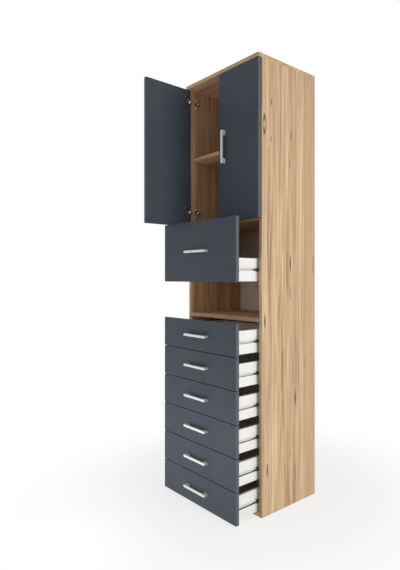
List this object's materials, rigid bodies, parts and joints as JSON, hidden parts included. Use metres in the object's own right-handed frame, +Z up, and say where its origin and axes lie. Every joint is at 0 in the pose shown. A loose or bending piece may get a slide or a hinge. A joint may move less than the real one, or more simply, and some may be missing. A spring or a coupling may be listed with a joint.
{
  "type": "cupboard",
  "caption": "Tall narrow wooden cupboard with a pair of doors over a deep drawer, an open niche and a stack of shallow drawers on ball runners.",
  "frame": {"origin": "on the floor, at the centre of the bottom panel's underside, which is the centre of the carcass footprint", "axes": "+Z up, -Y out of the front, +X to the right of someone who faces the front"},
  "size_m": [0.5009, 0.5771, 1.85],
  "materials": {
    "oak_decor": "matt wood-grain melamine",
    "back_board": "pale lacquered fibreboard",
    "anthracite_front": "matt anthracite melamine",
    "white_drawer": "white melamine",
    "coated_runner": "pale coated steel",
    "satin_nickel": "satin nickel look",
    "plated_steel": "bright nickel-plated steel",
    "dark_plated_steel": "dark nickel-plated steel"
  },
  "bodies": {
    "cupboard": {"side_panel_left": "oak_decor", "side_panel_right": "oak_decor", "top_panel": "oak_decor", "bottom_panel": "oak_decor", "divider_panel": "oak_decor", "niche_shelf": "oak_decor", "adjustable_shelf": "oak_decor", "back_panel": "back_board", "runner_big_left": "coated_runner", "runner_big_right": "coated_runner", "runner_1_left": "coated_runner", "runner_1_right": "coated_runner", "runner_2_left": "coated_runner", "runner_2_right": "coated_runner", "runner_3_left": "coated_runner", "runner_3_right": "coated_runner", "runner_4_left": "coated_runner", "runner_4_right": "coated_runner", "runner_5_left": "coated_runner", "runner_5_right": "coated_runner", "runner_6_left": "coated_runner", "runner_6_right": "coated_runner", "hinge_arm_left_upper": "plated_steel", "hinge_arm_left_lower": "plated_steel", "hinge_arm_right_upper": "plated_steel", "hinge_arm_right_lower": "plated_steel", "shelf_pin_left_front": "plated_steel", "shelf_pin_left_rear": "plated_steel", "shelf_pin_right_front": "plated_steel", "shelf_pin_right_rear": "plated_steel"},
    "door_left": {"door_left": "anthracite_front", "door_handle_left": "satin_nickel", "hinge_cup_left_upper": "dark_plated_steel", "hinge_cup_left_lower": "dark_plated_steel"},
    "door_right": {"door_right": "anthracite_front", "door_handle_right": "satin_nickel", "hinge_cup_right_upper": "dark_plated_steel", "hinge_cup_right_lower": "dark_plated_steel"},
    "drawer_big": {"drawer_big_front": "anthracite_front", "drawer_big_box": "white_drawer", "drawer_big_handle": "satin_nickel"},
    "drawer_1": {"drawer_1_front": "anthracite_front", "drawer_1_box": "white_drawer", "drawer_1_handle": "satin_nickel"},
    "drawer_2": {"drawer_2_front": "anthracite_front", "drawer_2_box": "white_drawer", "drawer_2_handle": "satin_nickel"},
    "drawer_3": {"drawer_3_front": "anthracite_front", "drawer_3_box": "white_drawer", "drawer_3_handle": "satin_nickel"},
    "drawer_4": {"drawer_4_front": "anthracite_front", "drawer_4_box": "white_drawer", "drawer_4_handle": "satin_nickel"},
    "drawer_5": {"drawer_5_front": "anthracite_front", "drawer_5_box": "white_drawer", "drawer_5_handle": "satin_nickel"},
    "drawer_6": {"drawer_6_front": "anthracite_front", "drawer_6_box": "white_drawer", "drawer_6_handle": "satin_nickel"}
  },
  "joints": [
    {"name": "door_left_hinge", "type": "hinge", "parent": "cupboard", "child": "door_left", "pos_m": [-0.2335, -0.1796, 1.513], "axis": [0, 0, -1], "range_deg": [-90, 5]},
    {"name": "door_right_hinge", "type": "hinge", "parent": "cupboard", "child": "door_right", "pos_m": [0.2335, -0.1796, 1.513], "axis": [0, 0, 1], "range_deg": [0, 95]},
    {"name": "drawer_big_slide", "type": "slide", "parent": "cupboard", "child": "drawer_big", "axis": [0, -1, 0], "range_m": [-0.118, 0.12]},
    {"name": "drawer_1_slide", "type": "slide", "parent": "cupboard", "child": "drawer_1", "axis": [0, -1, 0], "range_m": [-0.118, 0.12]},
    {"name": "drawer_2_slide", "type": "slide", "parent": "cupboard", "child": "drawer_2", "axis": [0, -1, 0], "range_m": [-0.118, 0.12]},
    {"name": "drawer_3_slide", "type": "slide", "parent": "cupboard", "child": "drawer_3", "axis": [0, -1, 0], "range_m": [-0.118, 0.12]},
    {"name": "drawer_4_slide", "type": "slide", "parent": "cupboard", "child": "drawer_4", "axis": [0, -1, 0], "range_m": [-0.118, 0.12]},
    {"name": "drawer_5_slide", "type": "slide", "parent": "cupboard", "child": "drawer_5", "axis": [0, -1, 0], "range_m": [-0.118, 0.12]},
    {"name": "drawer_6_slide", "type": "slide", "parent": "cupboard", "child": "drawer_6", "axis": [0, -1, 0], "range_m": [-0.118, 0.12]}
  ]
}
